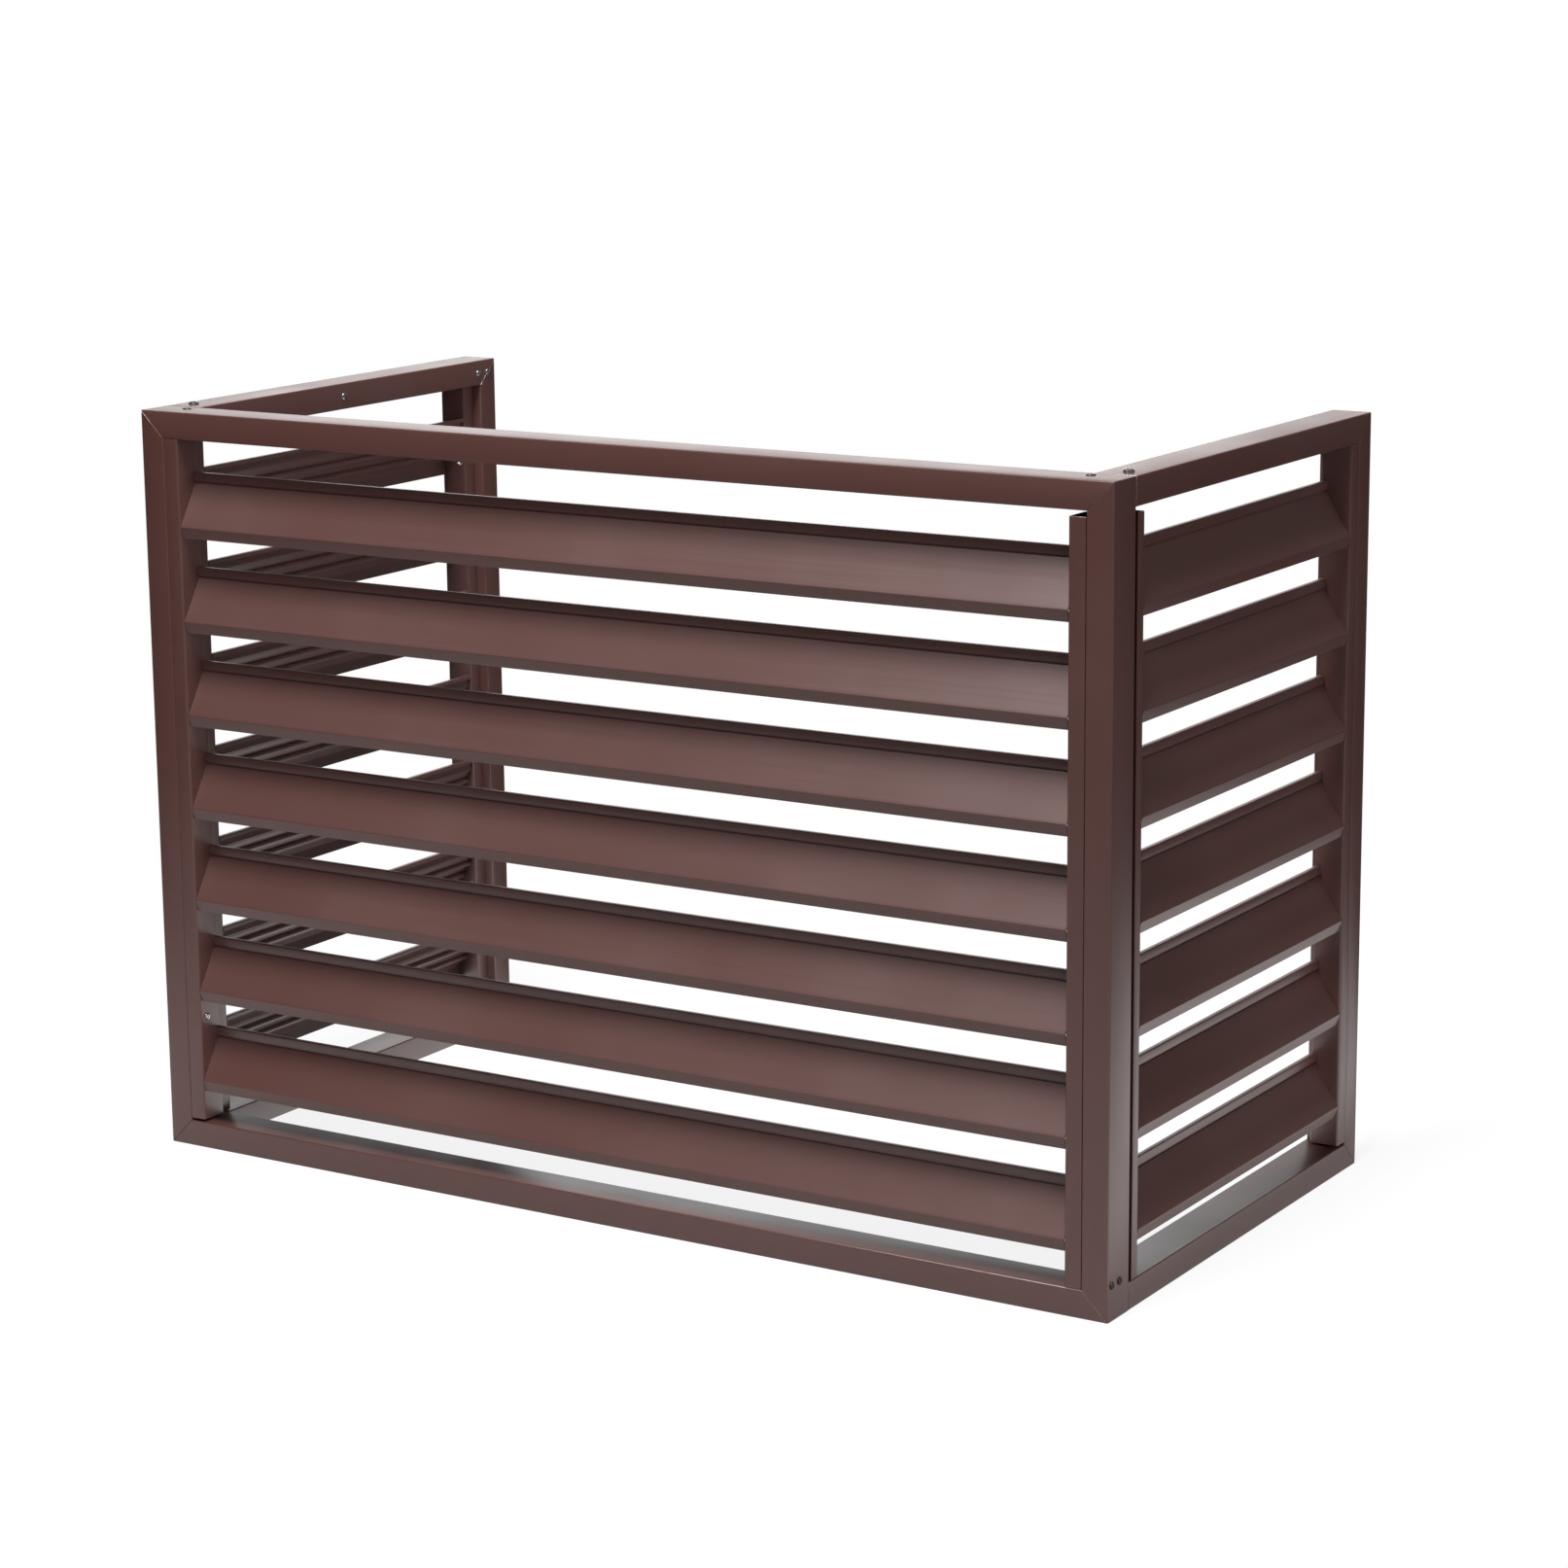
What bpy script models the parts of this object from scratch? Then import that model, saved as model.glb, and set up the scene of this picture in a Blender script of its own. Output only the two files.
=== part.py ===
"""Louvred aluminium screen that stands around the outdoor unit of an air conditioner.

A front panel and two side panels stand on the floor, and the back, the top and the underside are open. +X is to
the right seen from the front, +Y goes back to the wall and +Z is up. The origin is on the floor, under the middle
of the screen. All sizes are in metres.
"""
import math

import bmesh
import bpy
from mathutils import Matrix, Vector

# Overall size of the screen
WIDTH = 1.000
DEPTH = 0.500
HEIGHT = 0.700

# Clearance between two pieces that touch
GAP = 0.0003

# Box tube of the three frames: the face is what shows from outside, the depth goes inward
TUBE_FACE = 0.025
TUBE_DEPTH = 0.038
TUBE_WALL = 0.0015
TUBE_EDGE_RADIUS = 0.0012

# Jamb: the upright channel that carries the blade ends, its web turned to the blades
JAMB_REACH = 0.016
JAMB_DEPTH = 0.028
JAMB_WALL = 0.0015
JAMB_EDGE_RADIUS = 0.002
JAMB_HEAD_GAP = 0.005
JAMB_FOOT_GAP = 0.0025
JAMB_STAND_OFF = 0.0045

# Rows of blades: the nominal pitch sets how many there are, and the free gaps above and below stay
BLADE_PITCH = 0.088
HEAD_OPENING = 0.0327
FOOT_OPENING = 0.0305

# Blade section: depths are measured from the outer face, drops from the top of the blade
BLADE_WALL = 0.0014
FLANGE_INNER_DEPTH = 0.0275
LIP_DROP = 0.004
HEAD_WIDTH = 0.005
HEAD_RADIUS = 0.0010
HEAD_DROP = 0.0080
GROOVE_STEP = 0.0017
CREASE_STEP = 0.0004
CREASE_DROP = 0.0100
FACE_HOLLOW = 0.0008
NOSE_DROP = 0.0483
STRIP_REACH = 0.0028
STRIP_DROP = 0.0102

# Screw ports: two round bores behind the blade's face, placed as shares of the way down it
PORT_BORE_RADIUS = 0.0016
PORT_PLACE_SHARES = (0.30, 0.635)

# Corner cleats inside the mitres, and connectors inside the front ends of the side rails
CLEAT_LEG = 0.045
CONNECTOR_LENGTH = 0.040

# Large pan-head screws, on top of the side rails
PAN_HEAD_RADIUS = 0.00475
PAN_HEAD_HEIGHT = 0.0026
PAN_SHANK_RADIUS = 0.0022
PAN_SHANK_LENGTH = 0.012
PAN_SETBACK = 0.018
PAN_INSET = 0.016

# Small screws, low on the front stiles and in the rear top corners
SMALL_HEAD_RADIUS = 0.0034
SMALL_HEAD_HEIGHT = 0.0015
SMALL_SHANK_RADIUS = 0.0016
SMALL_SHANK_LENGTH = 0.010
STILE_SCREW_RISE = 0.0065
STILE_SCREW_INSET = 0.0065
STILE_SCREW_PITCH = 0.014
REAR_SCREW_PITCH = 0.016

# Steps of the round stretches
CORNER_STEPS = 3
FACE_STEPS = 8
PORT_STEPS = 10
BORE_SIDES = 12
SCREW_SIDES = 16

# Profile of a screw head, as shares of its radius and its height, from the crown to the rim
HEAD_RADIUS_SHARES = (0.0, 0.45, 0.80, 0.95, 1.0)
HEAD_HEIGHT_SHARES = (1.0, 0.95, 0.72, 0.45, 0.15)

# Points nearer than this are one point
WELD = 0.00001

# Finishes: base colour, roughness and metallic value
COFFEE_COAT = ((0.060, 0.026, 0.021, 1.0), 0.38, 0.0)
BARE_ALUMINIUM = ((0.62, 0.62, 0.63, 1.0), 0.42, 1.0)
BRIGHT_STEEL = ((0.70, 0.70, 0.71, 1.0), 0.28, 1.0)
DARK_STEEL = ((0.035, 0.020, 0.018, 1.0), 0.45, 0.6)

# Sizes of the two kinds of screw, in the order that the screw function takes them
PAN_SCREW = (PAN_HEAD_RADIUS, PAN_HEAD_HEIGHT, PAN_SHANK_RADIUS, PAN_SHANK_LENGTH)
SMALL_SCREW = (SMALL_HEAD_RADIUS, SMALL_HEAD_HEIGHT, SMALL_SHANK_RADIUS, SMALL_SHANK_LENGTH)

# Jambs that touch the upper rail instead of the lower one, and those whose outer flange stands off the front stile
RAISED_JAMBS = ("front_jamb_1", "left_jamb_1", "right_jamb_2")
STAND_OFF_JAMBS = ("left_jamb_2", "right_jamb_1")

SCREEN = "air_conditioner_screen"
QUARTER_TURN = math.pi / 2
SMOOTH_ANGLE = math.radians(35)


def new_collection(name):
    collection = bpy.data.collections.new(name)
    bpy.context.scene.collection.children.link(collection)
    return collection


def finish(obj, look):
    """Gives an object its own material."""
    colour, roughness, metallic = look
    material = bpy.data.materials.new(f"{obj.name} finish")
    material.use_nodes = True
    surface = material.node_tree.nodes["Principled BSDF"]
    surface.inputs["Base Color"].default_value = colour
    surface.inputs["Roughness"].default_value = roughness
    surface.inputs["Metallic"].default_value = metallic
    obj.data.materials.append(material)


def place(obj, parent, location, rotation=(0, 0, 0)):
    obj.parent = parent
    obj.location = location
    obj.rotation_euler = rotation
    return obj


# Outlines


def corner_arc(x, y, radius, turn):
    """Quarter circle about a centre, after a number of quarter turns."""
    angles = [QUARTER_TURN * (turn + step / CORNER_STEPS) for step in range(CORNER_STEPS + 1)]
    return [(x + radius * math.cos(angle), y + radius * math.sin(angle)) for angle in angles]


def rounded_rectangle(x_low, y_low, x_high, y_high, radius):
    """Outline of a rectangle whose corners are arcs."""
    left, right = x_low + radius, x_high - radius
    lower, upper = y_low + radius, y_high - radius
    points = []
    for turn, (x, y) in enumerate(((right, upper), (left, upper), (left, lower), (right, lower))):
        points += corner_arc(x, y, radius, turn)
    return points


def rectangle(x_low, y_low, x_high, y_high):
    return [(x_low, y_low), (x_high, y_low), (x_high, y_high), (x_low, y_high)]


def circle(centre, radius, sides):
    turns = [2 * math.pi * side / sides for side in range(sides)]
    return [(centre[0] + radius * math.cos(turn), centre[1] + radius * math.sin(turn)) for turn in turns]


def tube_outlines():
    """Outer and inner outline of the box tube: x is the depth, y runs down from the frame's outer edge."""
    outer = rounded_rectangle(0, -TUBE_FACE, TUBE_DEPTH, 0, TUBE_EDGE_RADIUS)
    inner = rectangle(TUBE_WALL, TUBE_WALL - TUBE_FACE, TUBE_DEPTH - TUBE_WALL, -TUBE_WALL)
    return [outer, inner]


def jamb_outline(stand_off):
    """Channel section, y is the depth: web at the far end in x, outer flange a stand-off short of x = 0."""
    reach = JAMB_REACH - GAP
    inner_reach = reach - JAMB_WALL
    inner_depth = JAMB_DEPTH - JAMB_WALL
    outside = [(stand_off, 0)]
    outside += corner_arc(reach - JAMB_EDGE_RADIUS, JAMB_EDGE_RADIUS, JAMB_EDGE_RADIUS, -1)
    outside += corner_arc(reach - JAMB_EDGE_RADIUS, JAMB_DEPTH - JAMB_EDGE_RADIUS, JAMB_EDGE_RADIUS, 0)
    outside.append((0, JAMB_DEPTH))
    inside = [(0, inner_depth), (inner_reach, inner_depth), (inner_reach, JAMB_WALL), (stand_off, JAMB_WALL)]
    return outside + inside


def face_point(share):
    """Point, direction and back normal a share of the way down the blade's face, from crease to nose."""
    crease = Vector((FLANGE_INNER_DEPTH - HEAD_WIDTH + CREASE_STEP, -CREASE_DROP))
    nose = Vector((0, -NOSE_DROP))
    bend = (crease + nose) / 2 + Vector((FACE_HOLLOW, 0))
    rest = 1 - share
    point = crease * rest * rest + bend * 2 * share * rest + nose * share * share
    direction = ((bend - crease) * rest + (nose - bend) * share).normalized()
    return point, direction, Vector((-direction.y, direction.x))


def offset_line(points, distance):
    """The line that runs beside another, on its left, at a distance."""
    moved = []
    for index, point in enumerate(points):
        before = points[max(index - 1, 0)]
        after = points[min(index + 1, len(points) - 1)]
        normals = []
        for start, end in ((before, point), (point, after)):
            if start is not end:
                along = (end - start).normalized()
                normals.append(Vector((-along.y, along.x)))
        first, last = normals[0], normals[-1]
        moved.append(point + (first + last) / (1 + first.dot(last)) * distance)
    return moved


def port_centre(share):
    point, direction, normal = face_point(share)
    return point + normal * (PORT_BORE_RADIUS + BLADE_WALL)


def port_arc(share):
    """The round back of a screw port, from where it leaves the blade's back to where it comes back to it."""
    point, direction, normal = face_point(share)
    radius = PORT_BORE_RADIUS + BLADE_WALL
    centre = port_centre(share)
    sweep = math.pi - math.acos(PORT_BORE_RADIUS / radius)
    angles = [sweep * (2 * step / PORT_STEPS - 1) for step in range(PORT_STEPS + 1)]
    return [centre + (normal * math.cos(angle) + direction * math.sin(angle)) * radius for angle in angles]


def blade_outlines():
    """Section of the blade, x is the depth, and the bores of its two screw ports."""
    face = [face_point(step / FACE_STEPS)[0] for step in range(FACE_STEPS + 1)]
    strip_end = Vector((STRIP_REACH, -NOSE_DROP - STRIP_DROP))
    lip_end = Vector((FLANGE_INNER_DEPTH, -LIP_DROP))
    head_depth = FLANGE_INNER_DEPTH - HEAD_WIDTH
    groove_depth = head_depth + GROOVE_STEP
    bead = corner_arc(FLANGE_INNER_DEPTH - HEAD_RADIUS, -HEAD_RADIUS, HEAD_RADIUS, 0)
    bead += corner_arc(head_depth + HEAD_RADIUS, -HEAD_RADIUS, HEAD_RADIUS, 1)
    groove = [(head_depth, -HEAD_DROP), (groove_depth, -HEAD_DROP), (groove_depth, -CREASE_DROP)]
    front = [lip_end] + [Vector(point) for point in bead + groove] + face + [strip_end]
    inside = [(FLANGE_INNER_DEPTH, 0), (head_depth, 0), (head_depth, -HEAD_DROP / 2), (groove_depth, -CREASE_DROP)]
    back = offset_line([lip_end] + [Vector(point) for point in inside] + face[1:] + [strip_end], BLADE_WALL)
    radius = PORT_BORE_RADIUS + BLADE_WALL
    half_chord = math.sqrt(radius * radius - PORT_BORE_RADIUS * PORT_BORE_RADIUS)
    for share in PORT_PLACE_SHARES:
        point, direction, normal = face_point(share)
        foot = point + normal * BLADE_WALL
        kept = [other for other in back if (other - foot).length > half_chord]
        above = [other for other in kept if (other - foot).dot(direction) < 0]
        back = above + port_arc(share) + kept[len(above):]
    bores = [circle(port_centre(share), PORT_BORE_RADIUS, BORE_SIDES) for share in PORT_PLACE_SHARES]
    return [front + back[::-1]] + bores


def cleat_outline():
    """Corner cleat in the plane of the frame, its corner up and to the right."""
    edge = -TUBE_WALL - GAP
    leg = -CLEAT_LEG
    inner = GAP + TUBE_WALL - TUBE_FACE
    return [(edge, edge), (leg, edge), (leg, inner), (inner, inner), (inner, leg), (edge, leg)]


# Solids


def extruded(name, outlines, length):
    """Filled outlines drawn in x and y, extruded along z about the middle, as a mesh object."""
    curve = bpy.data.curves.new(name, "CURVE")
    curve.dimensions = "2D"
    curve.fill_mode = "BOTH"
    curve.extrude = length / 2
    for outline in outlines:
        spline = curve.splines.new("POLY")
        spline.points.add(len(outline) - 1)
        for point, (x, y) in zip(spline.points, outline):
            point.co = (x, y, 0, 1)
        spline.use_cyclic_u = True
    drawn = bpy.data.objects.new(f"{name} outline", curve)
    parts.objects.link(drawn)
    evaluated = drawn.evaluated_get(bpy.context.evaluated_depsgraph_get())
    mesh = bpy.data.meshes.new_from_object(evaluated)
    bpy.data.objects.remove(drawn)
    bpy.data.curves.remove(curve)
    solid = bmesh.new()
    solid.from_mesh(mesh)
    bmesh.ops.remove_doubles(solid, verts=solid.verts, dist=WELD)
    bmesh.ops.recalc_face_normals(solid, faces=solid.faces)
    solid.to_mesh(mesh)
    solid.free()
    mesh.name = name
    return add_solid(name, mesh)


def add_solid(name, mesh):
    mesh.shade_smooth()
    mesh.set_sharp_from_angle(angle=SMOOTH_ANGLE)
    obj = bpy.data.objects.new(name, mesh)
    parts.objects.link(obj)
    return obj


def lay_along_x(mesh):
    """Turns a section drawn in x and y and extruded along z: depth to y, height to z, length to x."""
    mesh.transform(Matrix(((0, 0, 1, 0), (1, 0, 0, 0), (0, 1, 0, 0), (0, 0, 0, 1))))


def frame_tube(name, length, mitres):
    """Box tube along x, its outer edge at z = 0, and its ends (low x, high x) mitred where asked."""
    tube = extruded(name, tube_outlines(), length)
    lay_along_x(tube.data)
    mitre_gap = GAP / 2 * math.sqrt(2)
    for vertex in tube.data.vertices:
        side = 1 if vertex.co.x > 0 else -1
        if mitres[0 if side < 0 else 1]:
            vertex.co.x = side * (length / 2 + vertex.co.z - mitre_gap)
    finish(tube, COFFEE_COAT)
    return tube


def jamb(name, raised, stand_off):
    """Channel that rests on the lower rail, or that is raised until it touches the upper one."""
    bottom = TUBE_FACE + (JAMB_FOOT_GAP if raised else GAP)
    top = HEIGHT - TUBE_FACE - (GAP if raised else JAMB_HEAD_GAP)
    channel = extruded(name, [jamb_outline(stand_off)], top - bottom)
    channel.data.transform(Matrix.Translation((0, 0, (top + bottom) / 2)))
    finish(channel, COFFEE_COAT)
    return channel


def blade(name, length):
    slat = extruded(name, blade_outlines(), length)
    lay_along_x(slat.data)
    finish(slat, COFFEE_COAT)
    return slat


def corner_cleat(name):
    cleat = extruded(name, [cleat_outline()], TUBE_DEPTH - 2 * (TUBE_WALL + GAP))
    cleat.data.transform(Matrix.Translation((0, TUBE_DEPTH / 2, 0)) @ Matrix.Rotation(math.pi / 2, 4, "X"))
    finish(cleat, BARE_ALUMINIUM)
    return cleat


def rail_connector(name):
    """Block that fills the hollow of a side rail, drawn about its own middle."""
    solid = bmesh.new()
    bmesh.ops.create_cube(solid, size=1)
    clear = TUBE_WALL + GAP
    size = (CONNECTOR_LENGTH, TUBE_DEPTH - 2 * clear, TUBE_FACE - 2 * clear)
    bmesh.ops.scale(solid, vec=size, verts=solid.verts)
    mesh = bpy.data.meshes.new(name)
    solid.to_mesh(mesh)
    solid.free()
    block = add_solid(name, mesh)
    finish(block, BARE_ALUMINIUM)
    return block


def screw(name, head_radius, head_height, shank_radius, shank_length, look):
    """Pan-head screw along z, the underside of its head at z = 0."""
    profile = [(head_radius * r, head_height * h) for r, h in zip(HEAD_RADIUS_SHARES, HEAD_HEIGHT_SHARES)]
    profile += [(head_radius, 0), (shank_radius, 0), (shank_radius, -shank_length), (0, -shank_length)]
    mesh = bpy.data.meshes.new(name)
    mesh.from_pydata([(x, 0, z) for x, z in profile], [(i, i + 1) for i in range(len(profile) - 1)], [])
    obj = bpy.data.objects.new(name, mesh)
    parts.objects.link(obj)
    turned = obj.modifiers.new("turned", "SCREW")
    turned.steps = SCREW_SIDES
    turned.render_steps = SCREW_SIDES
    turned.use_merge_vertices = True
    turned.merge_threshold = WELD
    turned.use_smooth_shade = False
    finish(obj, look)
    return obj


def drill(name, parent, location, rotation, radius, depth, pieces):
    """Cuts a round blind hole from above an object's face through each of the pieces."""
    solid = bmesh.new()
    overrun = TUBE_WALL
    bmesh.ops.create_cone(
        solid, cap_ends=True, segments=SCREW_SIDES, radius1=radius, radius2=radius, depth=depth + overrun
    )
    bmesh.ops.translate(solid, verts=solid.verts, vec=(0, 0, (overrun - depth) / 2))
    mesh = bpy.data.meshes.new(f"{name} hole")
    solid.to_mesh(mesh)
    solid.free()
    cutter = bpy.data.objects.new(f"{name} hole", mesh)
    cutter.hide_render = True
    cutter.display_type = "WIRE"
    cutters.objects.link(cutter)
    place(cutter, parent, location, rotation)
    for piece in pieces:
        cut = piece.modifiers.new(f"{name} hole", "BOOLEAN")
        cut.operation = "DIFFERENCE"
        cut.solver = "EXACT"
        cut.object = cutter


def fasten(name, parent, location, rotation, sizes, look, pieces):
    """Puts a screw in its hole: the location is on the face that the head rests on, a gap below the head."""
    shank_radius, shank_length = sizes[2:]
    fastener = screw(name, *sizes, look)
    turn = Matrix.Rotation(rotation[0], 3, "X") @ Matrix.Rotation(rotation[1], 3, "Y")
    outward = turn @ Vector((0, 0, 1))
    place(fastener, parent, Vector(location) + outward * GAP, rotation)
    drill(name, parent, location, rotation, shank_radius + GAP, shank_length, pieces)


# Panels


def panel_base(name, location, turn):
    """Empty that carries a panel: x runs along it seen from outside, y goes inward and z up."""
    base = bpy.data.objects.new(f"{name} panel", None)
    base.location = location
    base.rotation_euler = (0, 0, turn)
    parts.objects.link(base)
    return base


def blade_tops():
    """Heights of the blades' upper edges, evenly spaced between the free gaps."""
    highest = HEIGHT - TUBE_FACE - HEAD_OPENING
    lowest = TUBE_FACE + FOOT_OPENING + NOSE_DROP + STRIP_DROP
    spaces = round((highest - lowest) / BLADE_PITCH)
    return [highest - (highest - lowest) * index / spaces for index in range(spaces + 1)]


def fill_panel(name, base, low, high):
    """Jambs and blades of a panel between the x of the faces that its jambs are fixed to."""
    first, second = (f"{name}_jamb_{number}" for number in (1, 2))
    offs = [JAMB_STAND_OFF if jamb_name in STAND_OFF_JAMBS else 0 for jamb_name in (first, second)]
    place(jamb(first, first in RAISED_JAMBS, offs[0]), base, (low + GAP, 0, 0))
    mirrored = place(jamb(second, second in RAISED_JAMBS, offs[1]), base, (high - GAP, 0, 0))
    mirrored.data.transform(Matrix.Scale(-1, 4, (1, 0, 0)))
    mirrored.data.flip_normals()
    length = high - low - 2 * (JAMB_REACH + GAP)
    for number, top in enumerate(blade_tops(), start=1):
        place(blade(f"{name}_blade_{number}", length), base, ((low + high) / 2, 0, top))


def front_frame(base):
    """Four tubes mitred at every corner, with a cleat in each."""
    half = WIDTH / 2
    tubes = {
        "top_rail": (WIDTH, (0, 0, HEIGHT), 0),
        "right_stile": (HEIGHT, (half, 0, HEIGHT / 2), QUARTER_TURN),
        "bottom_rail": (WIDTH, (0, 0, 0), 2 * QUARTER_TURN),
        "left_stile": (HEIGHT, (-half, 0, HEIGHT / 2), -QUARTER_TURN),
    }
    cleats = {
        "top_right_cleat": ((half, 0, HEIGHT), 0),
        "bottom_right_cleat": ((half, 0, 0), QUARTER_TURN),
        "bottom_left_cleat": ((-half, 0, 0), 2 * QUARTER_TURN),
        "top_left_cleat": ((-half, 0, HEIGHT), -QUARTER_TURN),
    }
    made = {}
    for name, (length, location, turn) in tubes.items():
        made[name] = place(frame_tube(f"front_{name}", length, (True, True)), base, location, (0, turn, 0))
    for name, (location, turn) in cleats.items():
        made[name] = place(corner_cleat(f"front_{name}"), base, location, (0, turn, 0))
    return made


def front_panel():
    base = panel_base("front", (0, -DEPTH / 2, 0), 0)
    half = WIDTH / 2
    made = front_frame(base)
    fill_panel("front", base, TUBE_FACE - half, half - TUBE_FACE)
    for side, sign in (("left", -1), ("right", 1)):
        pieces = (made[f"{side}_stile"], made[f"bottom_{side}_cleat"])
        turn = (0, sign * QUARTER_TURN, 0)
        for number in (1, 2):
            inset = STILE_SCREW_INSET + STILE_SCREW_PITCH * (number - 1)
            location = (sign * half, inset, TUBE_FACE + STILE_SCREW_RISE)
            fasten(f"{side}_stile_screw_{number}", base, location, turn, SMALL_SCREW, DARK_STEEL, pieces)


def side_rail(side, level, base, rear, half):
    """Rail butted to the front frame and mitred behind, with the connector in its front end."""
    at_top = level == "top"
    height = HEIGHT if at_top else 0
    hollow = height - TUBE_FACE / 2 if at_top else TUBE_FACE / 2
    rear_is_high = (rear > 0) == at_top
    rail = frame_tube(f"{side}_{level}_rail", 2 * half - GAP, (not rear_is_high, rear_is_high))
    place(rail, base, (rear * GAP / 2, 0, height), (0, 0 if at_top else 2 * QUARTER_TURN, 0))
    connector = rail_connector(f"{side}_{level}_connector")
    place(connector, base, (rear * (CONNECTOR_LENGTH / 2 + GAP - half), TUBE_DEPTH / 2, hollow))
    return rail, connector


def rear_corners(side, base, rear, half):
    """Rear stile with a cleat in each of its mitred ends."""
    stile = frame_tube(f"{side}_rear_stile", HEIGHT, (True, True))
    place(stile, base, (rear * half, 0, HEIGHT / 2), (0, rear * QUARTER_TURN, 0))
    top_turn, bottom_turn = (0, 1) if rear > 0 else (-1, 2)
    top_cleat = corner_cleat(f"{side}_rear_top_cleat")
    place(top_cleat, base, (rear * half, 0, HEIGHT), (0, top_turn * QUARTER_TURN, 0))
    bottom_cleat = corner_cleat(f"{side}_rear_bottom_cleat")
    place(bottom_cleat, base, (rear * half, 0, 0), (0, bottom_turn * QUARTER_TURN, 0))
    return stile, top_cleat


def side_panel(side, rear):
    """Side frame butted to the front frame; rear is the sign of x, along the panel, to the back."""
    half = (DEPTH - TUBE_DEPTH) / 2
    base = panel_base(side, (rear * WIDTH / 2, DEPTH / 2 - half, 0), rear * QUARTER_TURN)
    top_rail, top_connector = side_rail(side, "top", base, rear, half)
    side_rail(side, "bottom", base, rear, half)
    stile, top_cleat = rear_corners(side, base, rear, half)
    low, high = sorted((-rear * half, rear * (half - TUBE_FACE)))
    fill_panel(side, base, low, high)
    location = (rear * (PAN_SETBACK - half), PAN_INSET, HEIGHT)
    pieces = (top_rail, top_connector)
    fasten(f"{side}_top_rail_screw", base, location, (0, 0, 0), PAN_SCREW, BRIGHT_STEEL, pieces)
    for number in (1, 2):
        setback = TUBE_FACE / 2 + REAR_SCREW_PITCH * (number - 1)
        location = (rear * (half - setback), TUBE_DEPTH, HEIGHT - TUBE_FACE / 2)
        turn = (-QUARTER_TURN, 0, 0)
        pieces = (stile, top_rail, top_cleat)
        fasten(f"{side}_rear_screw_{number}", base, location, turn, SMALL_SCREW, BRIGHT_STEEL, pieces)


for old in list(bpy.data.objects):
    bpy.data.objects.remove(old)
parts = new_collection(SCREEN)
cutters = new_collection(f"{SCREEN} cutters")
front_panel()
side_panel("left", -1)
side_panel("right", 1)
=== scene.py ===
# %% [markdown]
# # A louvred aluminium screen for an air conditioner
# The real object is a three-sided cover. Box tubes make the frames, channels called jambs stand inside
# them, and seven louvre blades in each panel are screwed between the jambs. Everything is coated in one
# coffee brown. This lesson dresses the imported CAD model. It loads the model, builds each visible piece
# again with eased edges, mixes the finishes from nodes, and sets up the camera and the light.

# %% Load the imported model
import math

import bmesh
import bpy
from mathutils import Matrix, Vector


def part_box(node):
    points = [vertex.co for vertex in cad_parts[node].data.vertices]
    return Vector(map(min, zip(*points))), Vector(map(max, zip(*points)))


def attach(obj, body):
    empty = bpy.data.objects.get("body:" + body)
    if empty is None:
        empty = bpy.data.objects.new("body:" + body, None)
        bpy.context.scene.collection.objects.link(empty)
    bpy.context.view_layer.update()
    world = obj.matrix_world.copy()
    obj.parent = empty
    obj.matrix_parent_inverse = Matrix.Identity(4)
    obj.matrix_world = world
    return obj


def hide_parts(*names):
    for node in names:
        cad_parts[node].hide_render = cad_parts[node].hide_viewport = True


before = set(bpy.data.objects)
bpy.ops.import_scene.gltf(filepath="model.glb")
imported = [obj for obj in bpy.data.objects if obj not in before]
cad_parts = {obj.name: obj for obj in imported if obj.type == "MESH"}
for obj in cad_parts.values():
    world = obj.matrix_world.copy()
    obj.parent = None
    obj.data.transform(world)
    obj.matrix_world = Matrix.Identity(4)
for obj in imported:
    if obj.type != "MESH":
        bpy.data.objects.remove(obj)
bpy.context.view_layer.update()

# %% [markdown]
# The dressed pieces have to stay inside the box of the CAD model.

# %% [markdown]
# ## Sizes
# The solids of the CAD model were drawn from a few sizes. The same sizes are repeated here, in metres, so
# that each dressed piece lands on its solid. The front of the screen faces -Y, +X is to the right and the
# floor is at Z = 0.

# %% Sizes of the screen
WIDTH = 1.000
DEPTH = 0.500
HEIGHT = 0.700
GAP = 0.0003

TUBE_FACE = 0.025
TUBE_DEPTH = 0.038
TUBE_WALL = 0.0015
TUBE_EDGE_RADIUS = 0.0012

JAMB_REACH = 0.016
JAMB_DEPTH = 0.028
JAMB_WALL = 0.0015
JAMB_EDGE_RADIUS = 0.002
JAMB_HEAD_GAP = 0.005
JAMB_FOOT_GAP = 0.0025
JAMB_STAND_OFF = 0.0045

BLADE_PITCH = 0.088
HEAD_OPENING = 0.0327
FOOT_OPENING = 0.0305
NOSE_DROP = 0.0483
STRIP_DROP = 0.0102

QUARTER_TURN = math.pi / 2
SIDE_HALF = (DEPTH - TUBE_DEPTH) / 2

# %% [markdown]
# ## The camera
# The photograph was taken from the right, a little above the screen, with a long lens. The corners of the
# real screen in the photograph gave the camera's place, its turn round the screen, how far it looks down,
# and its small roll. A long lens far away keeps the parallel rails nearly parallel.

# %% Camera
CAMERA_PLACE = (1.9266, -3.0401, 1.1444)
CAMERA_TURN = math.radians(31.89)
CAMERA_DROP = math.radians(12.38)
CAMERA_ROLL = math.radians(-0.55)
SENSOR_WIDTH = 36.0
FOCAL_PIXELS = 4109.1
PHOTO_PIXELS = 1613

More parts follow.
